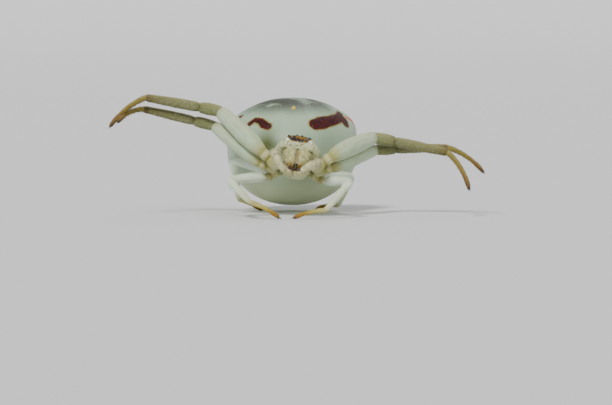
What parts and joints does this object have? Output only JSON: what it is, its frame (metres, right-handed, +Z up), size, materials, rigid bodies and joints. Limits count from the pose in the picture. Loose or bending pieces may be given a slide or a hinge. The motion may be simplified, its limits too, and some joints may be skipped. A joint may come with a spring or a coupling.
{
  "type": "crab spider",
  "caption": "Still life-size model of a pale female crab spider standing with its long front legs spread wide and its short hind legs under a broad abdomen.",
  "frame": {"origin": "on the floor, under the middle of the box round the whole animal", "axes": "+Z up, -Y the way the head faces, +X towards the animal's left"},
  "size_m": [0.022, 0.0118, 0.0072],
  "materials": {
    "abdomen": "satin, pale green-white with dark maroon shoulder marks",
    "head": "satin, pale cream-green with a brown eye band",
    "cuticle": "satin, translucent whitish green",
    "jaw": "satin, translucent tan with orange-brown tips",
    "tibia": "satin, translucent olive",
    "tarsus": "satin, yellow to orange towards the tip",
    "fang": "gloss, dark maroon",
    "eye": "gloss, black"
  },
  "bodies": {
    "root": {"abdomen": "abdomen", "carapace": "head", "sternum": "cuticle", "pedicel": "cuticle", "labium": "cuticle", "spinnerets": "cuticle", "chelicera_left": "jaw", "fang_left": "fang", "maxilla_left": "cuticle", "palp_left": "cuticle", "leg1_left_coxa": "cuticle", "leg1_left_femur": "cuticle", "leg1_left_tibia": "tibia", "leg1_left_tarsus": "tarsus", "leg2_left_coxa": "cuticle", "leg2_left_femur": "cuticle", "leg2_left_tibia": "tibia", "leg2_left_tarsus": "tarsus", "leg3_left_coxa": "cuticle", "leg3_left_femur": "cuticle", "leg3_left_tibia": "tibia", "leg3_left_tarsus": "tarsus", "leg4_left_coxa": "cuticle", "leg4_left_femur": "cuticle", "leg4_left_tibia": "tibia", "leg4_left_tarsus": "tarsus", "chelicera_right": "jaw", "fang_right": "fang", "maxilla_right": "cuticle", "palp_right": "cuticle", "leg1_right_coxa": "cuticle", "leg1_right_femur": "cuticle", "leg1_right_tibia": "tibia", "leg1_right_tarsus": "tarsus", "leg2_right_coxa": "cuticle", "leg2_right_femur": "cuticle", "leg2_right_tibia": "tibia", "leg2_right_tarsus": "tarsus", "leg3_right_coxa": "cuticle", "leg3_right_femur": "cuticle", "leg3_right_tibia": "tibia", "leg3_right_tarsus": "tarsus", "leg4_right_coxa": "cuticle", "leg4_right_femur": "cuticle", "leg4_right_tibia": "tibia", "leg4_right_tarsus": "tarsus", "eye_front_middle_left": "eye", "eye_front_middle_right": "eye", "eye_front_side_left": "eye", "eye_front_side_right": "eye", "eye_rear_middle_left": "eye", "eye_rear_middle_right": "eye", "eye_rear_side_left": "eye", "eye_rear_side_right": "eye"}
  },
  "joints": []
}
